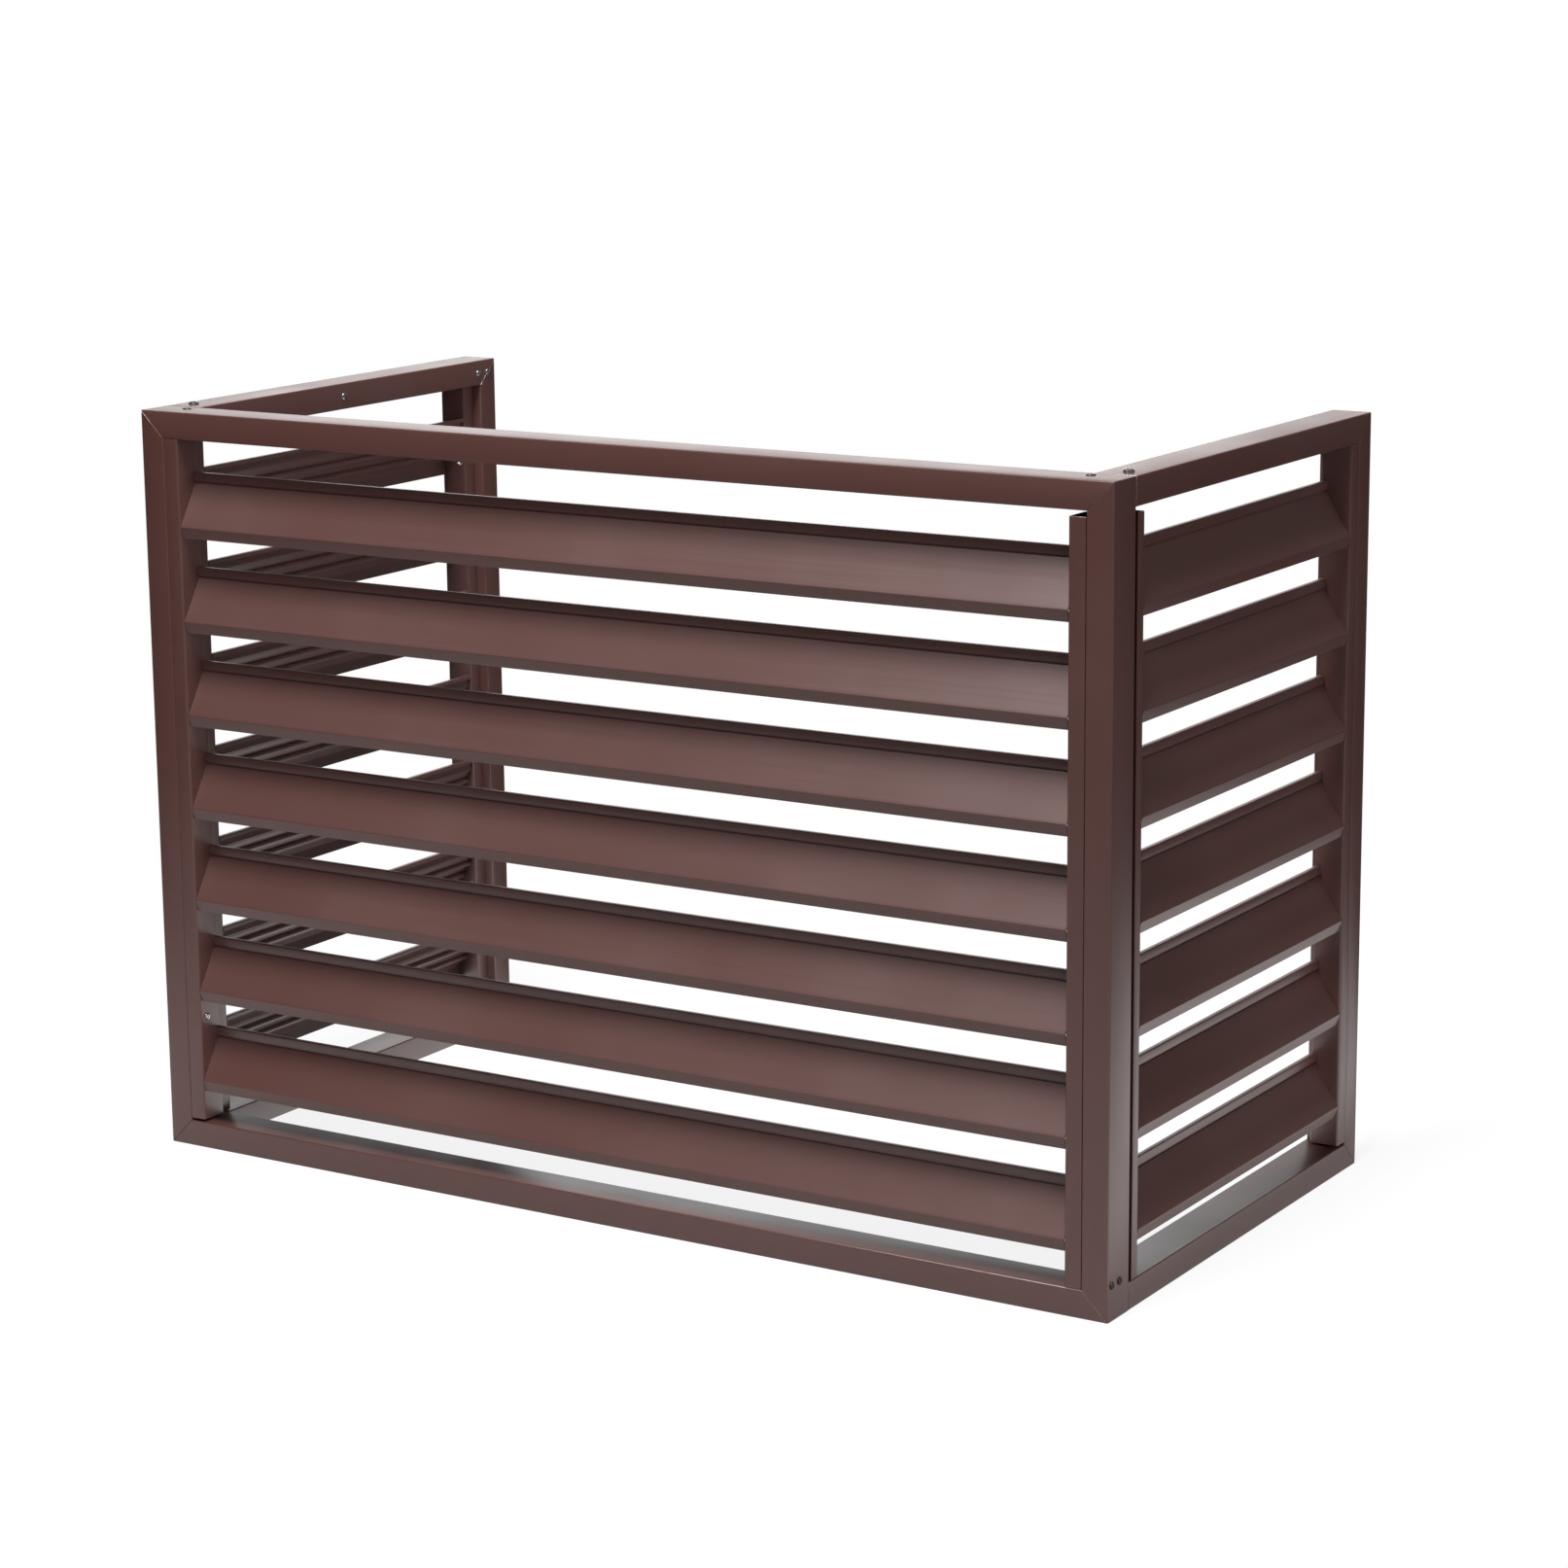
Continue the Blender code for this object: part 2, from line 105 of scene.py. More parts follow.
lens = bpy.data.cameras.new("photo camera")
lens.sensor_width = SENSOR_WIDTH
lens.lens = FOCAL_PIXELS / PHOTO_PIXELS * SENSOR_WIDTH
camera = bpy.data.objects.new("photo camera", lens)
bpy.context.scene.collection.objects.link(camera)
aim = Matrix.Rotation(CAMERA_TURN, 4, "Z") @ Matrix.Rotation(QUARTER_TURN - CAMERA_DROP, 4, "X")
camera.matrix_world = Matrix.Translation(CAMERA_PLACE) @ aim @ Matrix.Rotation(CAMERA_ROLL, 4, "Z")
bpy.context.scene.camera = camera
print("camera lens in millimetres", round(lens.lens, 2))

# %% [markdown]
# ## Nodes written as Python
# Materials and Geometry Nodes are both trees of nodes. One small class holds a socket and turns Python's
# + - * / into Math nodes, so that a mask reads like a formula. Another class adds any other node: it sets
# the node's own settings first, and then its sockets, each with a value or a link.

# %% A socket that can be used in sums
class Socket:
    """An output of a node that is added, multiplied and so on as a number is."""

    def __init__(self, nodes, socket):
        self.nodes = nodes
        self.socket = socket

    def sum(self, operation, first, second):
        return self.nodes.add("ShaderNodeMath", {"operation": operation}, {0: first, 1: second})

    def __add__(self, other):
        return self.sum("ADD", self, other)

    def __radd__(self, other):
        return self.sum("ADD", other, self)

    def __sub__(self, other):
        return self.sum("SUBTRACT", self, other)

    def __rsub__(self, other):
        return self.sum("SUBTRACT", other, self)

    def __mul__(self, other):
        return self.sum("MULTIPLY", self, other)

    def __rmul__(self, other):
        return self.sum("MULTIPLY", other, self)

    def __truediv__(self, other):
        return self.sum("DIVIDE", self, other)


# %% Adding nodes to a tree
class Nodes:
    """Adds nodes to the tree of a material, of the world or of a piece's geometry."""

    def __init__(self, tree):
        self.tree = tree

    def find(self, sockets, name):
        if isinstance(name, int):
            return sockets[name]
        return next(socket for socket in sockets if socket.enabled and socket.name == name)

    def plug(self, target, value):
        if isinstance(value, list):
            for item in value:
                self.plug(target, item)
        elif isinstance(value, Socket):
            self.tree.links.new(value.socket, target)
        else:
            target.default_value = value

    def add(self, kind, settings=None, sockets=None, output=0):
        made = self.tree.nodes.new(kind)
        for name, value in (settings or {}).items():
            setattr(made, name, value)
        for name, value in (sockets or {}).items():
            self.plug(self.find(made.inputs, name), value)
        return Socket(self, self.find(made.outputs, output))

    def slope(self, value, low, high):
        """0 below low, 1 above high, and a soft rise between them."""
        settings = {"interpolation_type": "SMOOTHSTEP"}
        ends = {"Value": value, "From Min": low, "From Max": high}
        return self.add("ShaderNodeMapRange", settings, ends)

    def blend(self, share, first, second):
        """Two colours mixed by a share."""
        return self.add("ShaderNodeMix", {"data_type": "RGBA"}, {0: share, 6: first, 7: second}, 2)

    def stretch(self, place, scales):
        """A place with each of its axes scaled."""
        return self.add("ShaderNodeVectorMath", {"operation": "MULTIPLY"}, {0: place, 1: scales})

    def noise(self, place, scale, detail):
        return self.add("ShaderNodeTexNoise", {}, {"Vector": place, "Scale": scale, "Detail": detail})

    def toward(self, place, direction):
        """How far a place lies along a direction."""
        settings = {"operation": "DOT_PRODUCT"}
        return self.add("ShaderNodeVectorMath", settings, {0: place, 1: direction}, "Value")

    def axes(self, place):
        """The x, the y and the z of a place."""
        split = self.add("ShaderNodeSeparateXYZ", {}, {"Vector": place})
        return [Socket(self, output) for output in split.socket.node.outputs]

    def rays(self):
        """Two masks: the camera's rays, also those through glass, and the rays of mirror reflections."""
        masks = []
        for kind in ("Is Camera Ray", "Is Transmission Ray", "Is Glossy Ray"):
            masks.append(self.add("ShaderNodeLightPath", output=kind))
        return masks[0] + masks[1], masks[2]


# %% [markdown]
# ## The coffee-brown coating
# The frame and the blades are extruded aluminium, coated with a baked powder. From close up such a
# coating shows four things, and each is one group of nodes here:
# - fine orange peel, because the powder melts and flows only a little;
# - faint lines along each piece, which the extrusion die leaves and the thin coating doesn't hide;
# - slow changes of tone and of gloss, where the film is thicker or was rubbed;
# - spots of bare metal on the saw-cut ends.
# The lines must follow each piece, so every piece carries an attribute called grain: its own place along
# the extrusion, across it and up it. Another attribute, cut, is 1 on the saw-cut ends.

# %% Start of a finish
def new_finish(name):
    material = bpy.data.materials.new(name)
    material.use_nodes = True
    surface = material.node_tree.nodes["Principled BSDF"]
    return material, Nodes(material.node_tree), surface


def set_surface(nodes, surface, values):
    for name, value in values.items():
        nodes.plug(surface.inputs[name], value)


# %% Coffee-brown coating
COFFEE = (0.059, 0.0238, 0.0200, 1.0)
COFFEE_WORN = (0.065, 0.0278, 0.0235, 1.0)
CUT_METAL = (0.48, 0.44, 0.42, 1.0)
COATING_GLOSS = 0.85
FRAME_ROUGHNESS = 0.36
BLADE_ROUGHNESS = 0.38
TONE_ROUGHNESS = 0.16
LINE_ROUGHNESS = 0.10
PEEL_SCALE = 620.0
LINE_SCALE = (3.0, 900.0, 900.0)
TONE_SCALE = 7.0
CHIP_RANGE = (0.46, 0.62)
CHIP_SHARE = 0.6
RUB_RANGE = (0.52, 0.72)
RUB_SHARE = 0.5


def coffee_coating(name, roughness, peel_depth, line_depth):
    material, nodes, surface = new_finish(name)
    grain = nodes.add("ShaderNodeAttribute", {"attribute_name": "grain"}, output="Vector")
    cut = nodes.add("ShaderNodeAttribute", {"attribute_name": "cut"}, output="Fac")
    place = nodes.add("ShaderNodeTexCoord", output="Object")

    peel = nodes.noise(place, PEEL_SCALE, 2.0)
    tone = nodes.noise(place, TONE_SCALE, 3.0)
    lines = nodes.noise(nodes.stretch(grain, LINE_SCALE), 1.0, 2.0)

    chipped = nodes.slope(peel * 0.5 + tone * 0.5, *CHIP_RANGE) * CHIP_SHARE
    rubbed = nodes.slope(tone, *RUB_RANGE) * RUB_SHARE
    paint = nodes.blend(rubbed, COFFEE, COFFEE_WORN)
    colour = nodes.blend(chipped * cut, paint, CUT_METAL)
    height = peel * peel_depth + lines * line_depth
    relief = nodes.add("ShaderNodeBump", {}, {"Height": height, "Distance": 1.0})

    set_surface(nodes, surface, {
        "Base Color": colour,
        "Roughness": roughness + (tone - 0.5) * TONE_ROUGHNESS + (lines - 0.5) * LINE_ROUGHNESS,
        "Metallic": chipped * cut,
        "Specular IOR Level": COATING_GLOSS,
        "Normal": relief,
    })
    return material


FRAME_RELIEF = (0.000010, 0.000006)
BLADE_RELIEF = (0.000008, 0.000008)
frame_coating = coffee_coating("coffee coating on the frame", FRAME_ROUGHNESS, *FRAME_RELIEF)
jamb_coating = coffee_coating("coffee coating on the jambs", FRAME_ROUGHNESS, *FRAME_RELIEF)
blade_coating = coffee_coating("coffee coating on the blades", BLADE_ROUGHNESS, *BLADE_RELIEF)
print("coatings", frame_coating.name, jamb_coating.name, blade_coating.name)

# %% [markdown]
# ## Bare aluminium, bright steel and darkened steel
# The corner cleats and connectors sit inside the tubes and are cut from mill-finish bar, so they keep the
# streaks of the extrusion. The screws are zinc-plated steel or darkened steel. Their plating is uneven,
# with dull spots.

# %% Metals
SPOT_SCALE = 900.0
DULL_RANGE = (0.45, 0.75)
DULL_TONE = 0.6
DULL_ROUGHNESS = 0.15
STREAK_TONE = 0.4
STREAK_ROUGHNESS = 0.2
STREAK_DEPTH = 0.00002


def metal(name, tones, roughness, streaks, metallic):
    material, nodes, surface = new_finish(name)
    place = nodes.add("ShaderNodeTexCoord", output="Object")
    streak = nodes.noise(nodes.stretch(place, streaks), 1.0, 4.0)
    dull = nodes.slope(nodes.noise(place, SPOT_SCALE, 3.0), *DULL_RANGE)
    colour = nodes.blend(dull * DULL_TONE + streak * STREAK_TONE, *tones)
    relief = nodes.add("ShaderNodeBump", {}, {"Height": streak * STREAK_DEPTH, "Distance": 1.0})
    set_surface(nodes, surface, {
        "Base Color": colour,
        "Roughness": roughness + dull * DULL_ROUGHNESS + (streak - 0.5) * STREAK_ROUGHNESS,
        "Metallic": metallic,
        "Normal": relief,
    })
    return material


MILL_TONES = ((0.66, 0.66, 0.67, 1.0), (0.50, 0.50, 0.51, 1.0))
ZINC_TONES = ((0.72, 0.72, 0.73, 1.0), (0.46, 0.45, 0.44, 1.0))
DARK_TONES = ((0.050, 0.034, 0.030, 1.0), (0.020, 0.014, 0.013, 1.0))
BAR_STREAKS = (20.0, 800.0, 800.0)
SCREW_STREAKS = (300.0, 300.0, 300.0)
mill_aluminium = metal("mill-finish aluminium", MILL_TONES, 0.40, BAR_STREAKS, 1.0)
zinc_steel = metal("zinc-plated steel", ZINC_TONES, 0.26, SCREW_STREAKS, 1.0)
dark_steel = metal("darkened steel", DARK_TONES, 0.34, SCREW_STREAKS, 0.7)

inner_nodes = [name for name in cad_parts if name.endswith(("cleat", "connector"))]
for name in inner_nodes:
    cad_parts[name].data.materials[0] = mill_aluminium
print("cleats and connectors in bare aluminium", len(inner_nodes))

# %% [markdown]
# ## Panels and pieces
# Each panel is drawn flat, as seen from outside: x runs along it, y goes inward and z goes up. A matrix
# for each panel then carries it to its place. A finished piece keeps its own object at the origin, so the
# matrix is applied to the mesh.

# %% Where the three panels stand
side_middle = DEPTH / 2 - SIDE_HALF
PANEL_PLACES = {
    "front": Matrix.Translation((0, -DEPTH / 2, 0)),
    "left": Matrix.Translation((-WIDTH / 2, side_middle, 0)) @ Matrix.Rotation(-QUARTER_TURN, 4, "Z"),
    "right": Matrix.Translation((WIDTH / 2, side_middle, 0)) @ Matrix.Rotation(QUARTER_TURN, 4, "Z"),
}
SHARP_ANGLE = math.radians(34)


# %% Meshes and pieces
def close_solid(solid, name):
    """Turns a finished bmesh into a mesh."""
    mesh = bpy.data.meshes.new(name)
    solid.to_mesh(mesh)
    solid.free()
    return mesh


def show_piece(name, mesh, material, replaced):
    """Makes a piece of a mesh that is already in place, and lets it stand for its CAD nodes."""
    mesh.name = name
    mesh.shade_smooth()
    mesh.set_sharp_from_angle(angle=SHARP_ANGLE)
    piece = bpy.data.objects.new(name, mesh)
    bpy.context.scene.collection.objects.link(piece)
    piece.data.materials.clear()
    piece.data.materials.append(material)
    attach(piece, "root")
    if replaced:
        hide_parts(*replaced)
    return piece


def miss(mesh, node):
    """How far the box of a mesh is from the box of its CAD node, in millimetres."""
    low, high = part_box(node)
    gaps = []
    for axis in range(3):
        found = [vertex.co[axis] for vertex in mesh.vertices]
        gaps += [abs(min(found) - low[axis]), abs(max(found) - high[axis])]
    return round(1000 * max(gaps), 3)


# %% [markdown]
# ## Outlines
# Every long piece of the frame is one outline pushed along its length. Two small functions draw outlines:
# one rounds the corners of a line of points, and the other moves an outline inward by the same distance
# all round, which gives the small chamfer that a file leaves round a saw-cut end. A third one lays quads
# between an outline and the next one along the piece.

# %% Rounded corners
ARC_STEPS = 4
NO_LENGTH = 1e-9


def rounded(points, radii, closed=True):
    """The same line with an arc at each corner that has a radius."""
    made = []
    count = len(points)
    for index, (point, radius) in enumerate(zip(points, radii)):
        at_end = not closed and index in (0, count - 1)
        if radius <= 0 or at_end:
            made.append(Vector(point))
            continue
        corner = Vector(point)
        back = (Vector(points[index - 1]) - corner).normalized()
        ahead = (Vector(points[(index + 1) % count]) - corner).normalized()
        half = back.angle(ahead) / 2
        centre = corner + (back + ahead).normalized() * radius / math.sin(half)
        start = (corner + back * radius / math.tan(half) - centre).normalized()
        end = (corner + ahead * radius / math.tan(half) - centre).normalized()
        for step in range(ARC_STEPS + 1):
            made.append(centre + start.slerp(end, step / ARC_STEPS) * radius)
    return made


# %% Outlines moved inward
def moved(points, distance, closed=True):
    """The line moved to its left by a distance, which is inward for an outline drawn anticlockwise."""
    made = []
    count = len(points)
    for index, point in enumerate(points):
        before = points[index - 1] if closed or index else point
        after = points[(index + 1) % count] if closed or index < count - 1 else point
        normals = []
        for start, end in ((before, point), (point, after)):
            along = end - start
            if along.length > NO_LENGTH:
                along.normalize()
                normals.append(Vector((-along.y, along.x)))
        first, last = normals[0], normals[-1]
        made.append(point + (first + last) / (1 + first.dot(last)) * distance)
    return made


# %% Skin over rings of points
def sawn_layers(solid):
    """The two attributes that the coating reads."""
    return solid.verts.layers.float_vector.new("grain"), solid.faces.layers.float.new("cut")


def skin(solid, rings, cut, sawn_bands):
    """Quads from each ring of points to the next. Sawn bands are marked as cut."""
    for band, (ring, following) in enumerate(zip(rings, rings[1:])):
        for corner in range(len(ring)):
            ahead = (corner + 1) % len(ring)
            face = solid.faces.new((ring[corner], ring[ahead], following[ahead], following[corner]))
            face[cut] = 1.0 if band in sawn_bands else 0.0


# %% [markdown]
# ## Frame tubes
# A box tube is a ring of outlines: the inner wall, the saw-cut end with its chamfer, the outer wall, and
# the same at the other end. The mitre is one rule: at a mitred end, a point deeper in the corner sits
# further out along x. Building the rings by hand keeps every face a clean quad, which a bevel on loose
# CAD triangles would not.

# %% Box tube with sawn ends
CHAMFER = 0.00025
INNER_CORNER = 0.0003
TUBE_GRAIN_STEP = 1.7
SAWN_TUBE_BANDS = (0, 1, 3, 4)


def tube_outline(inset, radius):
    near, far = inset, TUBE_DEPTH - inset
    low, high = inset - TUBE_FACE, -inset
    return rounded([(near, low), (far, low), (far, high), (near, high)], [radius] * 4)


def tube_mesh(length, mitres, offset):
    outer = tube_outline(0, TUBE_EDGE_RADIUS)
    inner = tube_outline(TUBE_WALL, INNER_CORNER)
    eased = moved(outer, CHAMFER)
    mitre_gap = GAP / 2 * math.sqrt(2)

    def end_x(side, z):
        if mitres[0 if side < 0 else 1]:
            return side * (length / 2 + z - mitre_gap)
        return side * length / 2

    solid = bmesh.new()
    grain, cut = sawn_layers(solid)
    rings = []
    for side, steps in ((-1, (inner, eased, outer)), (1, (outer, eased, inner))):
        for outline in steps:
            pull = CHAMFER if outline is outer else 0
            ring = []
            for depth, height in outline:
                vertex = solid.verts.new((end_x(side, height) - side * pull, depth, height))
                vertex[grain] = vertex.co + Vector((offset, 0, 0))
                ring.append(vertex)
            rings.append(ring)
    skin(solid, rings + rings[:1], cut, SAWN_TUBE_BANDS)
    bmesh.ops.recalc_face_normals(solid, faces=solid.faces)
    return close_solid(solid, "tube")


# %% [markdown]
# The front frame is mitred at its four corners. A side rail is butted to the front frame and mitred only
# behind. Each tube is drawn with its outer edge at z = 0, turned in the plane of its panel and moved to
# its side of it.

# %% The ten frame tubes
def side_tubes(side, rear):
    """Name, panel, length, place, turn and mitred ends of the tubes of a side panel."""
    tubes = []
    rail_length = 2 * SIDE_HALF - GAP
    for level, height, turn in (("top", HEIGHT, 0), ("bottom", 0, 2 * QUARTER_TURN)):
        rear_is_high = (rear > 0) == (level == "top")
        mitres = (not rear_is_high, rear_is_high)
        tubes.append((f"{side}_{level}_rail", side, rail_length, (rear * GAP / 2, 0, height), turn, mitres))
    stile_place = (rear * SIDE_HALF, 0, HEIGHT / 2)
    tubes.append((f"{side}_rear_stile", side, HEIGHT, stile_place, rear * QUARTER_TURN, (True, True)))
    return tubes


half_width = WIDTH / 2
both = (True, True)
TUBES = [
    ("front_top_rail", "front", WIDTH, (0, 0, HEIGHT), 0, both),
    ("front_right_stile", "front", HEIGHT, (half_width, 0, HEIGHT / 2), QUARTER_TURN, both),
    ("front_bottom_rail", "front", WIDTH, (0, 0, 0), 2 * QUARTER_TURN, both),
    ("front_left_stile", "front", HEIGHT, (-half_width, 0, HEIGHT / 2), -QUARTER_TURN, both),
] + side_tubes("left", -1) + side_tubes("right", 1)

for number, (name, panel, length, place, turn, mitres) in enumerate(TUBES):
    mesh = tube_mesh(length, mitres, number * TUBE_GRAIN_STEP)
    mesh.transform(PANEL_PLACES[panel] @ Matrix.Translation(place) @ Matrix.Rotation(turn, 4, "Y"))
    show_piece(f"{name}_tube", mesh, frame_coating, [name])
    print(name, "misses its solid by", miss(mesh, name), "mm")

# %% [markdown]
# ## Jambs
# A jamb is a channel: its two flanges touch the stile and its web faces the blades. It is cut a few
# millimetres shorter than the opening. Some jambs stand on the lower rail and some hang from the upper
# one, as in the photograph. The sawn ends get the same chamfer, and the web's outer corners are rounded
# as on the real extrusion. On the side panels the outer flange of the front jamb stands off the stile,
# and a dark slot is seen between them. The channel is one closed outline, so each end is a single face
# with many sides.

# %% Channel with sawn ends
FLANGE_TIP_RADIUS = 0.0002
WEB_INNER_RADIUS = 0.0006
SAWN_JAMB_BANDS = (0, 2)


def channel_outline(stand_off):
    reach = JAMB_REACH - GAP
    web = reach - JAMB_WALL
    lining = JAMB_DEPTH - JAMB_WALL
    corners = {
        (stand_off, 0): FLANGE_TIP_RADIUS,
        (reach, 0): JAMB_EDGE_RADIUS,
        (reach, JAMB_DEPTH): JAMB_EDGE_RADIUS,
        (0, JAMB_DEPTH): FLANGE_TIP_RADIUS,
        (0, lining): FLANGE_TIP_RADIUS,
        (web, lining): WEB_INNER_RADIUS,
        (web, JAMB_WALL): WEB_INNER_RADIUS,
        (stand_off, JAMB_WALL): FLANGE_TIP_RADIUS,
    }
    return rounded(list(corners), list(corners.values()))


def channel_mesh(bottom, top, stand_off, offset):
    outline = channel_outline(stand_off)
    eased = moved(outline, CHAMFER)
    solid = bmesh.new()
    grain, cut = sawn_layers(solid)
    lines = (eased, outline, outline, eased)
    heights = (bottom, bottom + CHAMFER, top - CHAMFER, top)
    rings = []
    for line, height in zip(lines, heights):
        ring = [solid.verts.new((x, y, height)) for x, y in line]
        for vertex in ring:
            vertex[grain] = (vertex.co.z + offset, vertex.co.x, vertex.co.y)
        rings.append(ring)
    skin(solid, rings, cut, SAWN_JAMB_BANDS)
    for ring in (rings[0], rings[-1]):
        solid.faces.new(ring)[cut] = 1.0
    bmesh.ops.recalc_face_normals(solid, faces=solid.faces)
    return close_solid(solid, "jamb")


# %% Six jambs
JAMB_SPANS = {
    "front": (TUBE_FACE - half_width, half_width - TUBE_FACE),
    "left": (TUBE_FACE - SIDE_HALF, SIDE_HALF),
    "right": (-SIDE_HALF, SIDE_HALF - TUBE_FACE),
}
RAISED_JAMBS = ("front_jamb_1", "left_jamb_1", "right_jamb_2")
STAND_OFF_JAMBS = ("left_jamb_2", "right_jamb_1")
JAMB_GRAIN_SPREAD = 5

for panel, (low, high) in JAMB_SPANS.items():
    for number, (foot, side) in enumerate(((low + GAP, 1), (high - GAP, -1)), start=1):
        name = f"{panel}_jamb_{number}"
        raised = name in RAISED_JAMBS
        bottom = TUBE_FACE + (JAMB_FOOT_GAP if raised else GAP)
        top = HEIGHT - TUBE_FACE - (GAP if raised else JAMB_HEAD_GAP)
        stand_off = JAMB_STAND_OFF if name in STAND_OFF_JAMBS else 0
        mesh = channel_mesh(bottom, top, stand_off, foot * JAMB_GRAIN_SPREAD)
        if side < 0:
            mesh.transform(Matrix.Scale(-1, 4, (1, 0, 0)))
            mesh.flip_normals()
        mesh.transform(PANEL_PLACES[panel] @ Matrix.Translation((foot, 0, 0)))
        show_piece(f"{name}_channel", mesh, jamb_coating, [name])
        print(name, "misses its solid by", miss(mesh, name), "mm")

# %% [markdown]
# ## The section of a louvre blade
# All the blades are one extrusion, so the shape of a blade is its section. From the top: a narrow head
# with a short lip hanging behind, a shallow groove under it, a slightly hollow face that leans forward to
# the nose, and a strip that turns back under the nose. Two round screw ports run behind the face. The
# screws of the jambs bite into them. Points in the section are (depth from the outer face, height above
# the blade's top).

# %% Sizes of the section
BLADE_WALL = 0.0014
FLANGE_INNER_DEPTH = 0.0275
LIP_DROP = 0.004
HEAD_DEPTH = 0.0225
HEAD_RADIUS = 0.0010
HEAD_DROP = 0.0080
HEAD_FOOT_RADIUS = 0.0005
GROOVE_DEPTH = 0.0242
CREASE_DEPTH = 0.0229
CREASE_DROP = 0.0100
CREASE_RADIUS = 0.0003
FACE_HOLLOW = 0.0008
NOSE_RADIUS = 0.0015
STRIP_REACH = 0.0028
PORT_BORE_RADIUS = 0.0016
PORT_PLACE_SHARES = (0.30, 0.635)
FACE_STEPS = 14
PORT_STEPS = 12
BORE_SIDES = 16


# %% The leaning face
def face_point(share):
    """Point, direction and back normal a share of the way down the face, from crease to nose."""
    crease = Vector((CREASE_DEPTH, -CREASE_DROP))
    nose = Vector((0, -NOSE_DROP))
    bend = (crease + nose) / 2 + Vector((FACE_HOLLOW, 0))
    rest = 1 - share
    point = crease * rest * rest + bend * 2 * share * rest + nose * share * share
    direction = ((bend - crease) * rest + (nose - bend) * share).normalized()
    return point, direction, Vector((-direction.y, direction.x))


def port_centre(share):
    point, direction, normal = face_point(share)
    return point + normal * (PORT_BORE_RADIUS + BLADE_WALL)


# %% Front line of the section, rounded, and back line with the ports
HEAD_TOP = [
    Vector((FLANGE_INNER_DEPTH, -LIP_DROP)),
    Vector((FLANGE_INNER_DEPTH, 0)),
    Vector((HEAD_DEPTH, 0)),
]
GROOVE_FOOT = Vector((GROOVE_DEPTH, -CREASE_DROP))
STRIP_END = Vector((STRIP_REACH, -NOSE_DROP - STRIP_DROP))
FACE_LINE = [face_point(step / FACE_STEPS)[0] for step in range(FACE_STEPS + 1)]


def front_line():
    head = HEAD_TOP + [Vector((HEAD_DEPTH, -HEAD_DROP)), Vector((GROOVE_DEPTH, -HEAD_DROP)), GROOVE_FOOT]
    head_radii = [0, HEAD_RADIUS, HEAD_RADIUS, HEAD_FOOT_RADIUS, 0, 0]
    face_radii = [CREASE_RADIUS] + [0] * (FACE_STEPS - 1) + [NOSE_RADIUS]
    return rounded(head + FACE_LINE + [STRIP_END], head_radii + face_radii + [0], closed=False)


def back_line():
    head = HEAD_TOP + [Vector((HEAD_DEPTH, -HEAD_DROP / 2)), GROOVE_FOOT]
    back = moved(head + FACE_LINE[1:] + [STRIP_END], BLADE_WALL, closed=False)
    radius = PORT_BORE_RADIUS + BLADE_WALL
    half_chord = math.sqrt(radius * radius - PORT_BORE_RADIUS * PORT_BORE_RADIUS)
    sweep = math.pi - math.acos(PORT_BORE_RADIUS / radius)
    for share in PORT_PLACE_SHARES:
        point, direction, normal = face_point(share)
        foot = point + normal * BLADE_WALL
        turns = [sweep * (2 * step / PORT_STEPS - 1) for step in range(PORT_STEPS + 1)]
        centre = port_centre(share)
        arc = [centre + (normal * math.cos(turn) + direction * math.sin(turn)) * radius for turn in turns]
        kept = [other for other in back if (other - foot).length > half_chord]
        above = [other for other in kept if (other - foot).dot(direction) < 0]
        back = above + arc + kept[len(above):]
    return back


def bore_line(share):
    centre = port_centre(share)
    turns = [2 * math.pi * side / BORE_SIDES for side in range(BORE_SIDES)]
    return [centre + PORT_BORE_RADIUS * Vector((math.cos(turn), math.sin(turn))) for turn in turns]


# %% The section as a flat curve
def section_curve(outlines):
    curve = bpy.data.curves.new("blade section", "CURVE")
    curve.dimensions = "2D"
    curve.fill_mode = "NONE"
    for outline in outlines:
        spline = curve.splines.new("POLY")
        spline.points.add(len(outline) - 1)
        for point, (x, y) in zip(spline.points, outline):
            point.co = (x, y, 0, 1)
        spline.use_cyclic_u = True
    drawn = bpy.data.objects.new("blade section", curve)
    bpy.context.scene.collection.objects.link(drawn)
    return drawn


section_outline = front_line() + back_line()[::-1]
section = section_curve([section_outline] + [bore_line(share) for share in PORT_PLACE_SHARES])
print("points round the section", len(section_outline))

# %% [markdown]
# ## A row of blades from Geometry Nodes
# The blades could be copied by hand, but a row of equal slats is a rule: a section, a length, a count and
# a pitch. So one node tree makes a whole panel's row:
# 1. fill the section and extrude it by the length, with the first face kept as the other end;
# 2. lay it along x, with its depth to y and its height to z;
# 3. put a copy on each point of an upright line, from the top down;
# 4. realize the copies, store the grain and set the coating.
# The same tree serves the three panels, with only its inputs changed.

# %% A geometry tree with named inputs
def geometry_tree(name, inputs):
    tree = bpy.data.node_groups.new(name, "GeometryNodeTree")
    tree.interface.new_socket("Geometry", in_out="INPUT", socket_type="NodeSocketGeometry")
    for label, kind in inputs.items():
        tree.interface.new_socket(label, in_out="INPUT", socket_type=f"NodeSocket{kind}")
    tree.interface.new_socket("Geometry", in_out="OUTPUT", socket_type="NodeSocketGeometry")
    nodes = Nodes(tree)
    entry = tree.nodes.new("NodeGroupInput")
    given = {socket.name: Socket(nodes, socket) for socket in entry.outputs if socket.name}
    return tree, nodes, given


def close_tree(tree, result):
    leaving = tree.nodes.new("NodeGroupOutput")
    tree.links.new(result.socket, leaving.inputs["Geometry"])


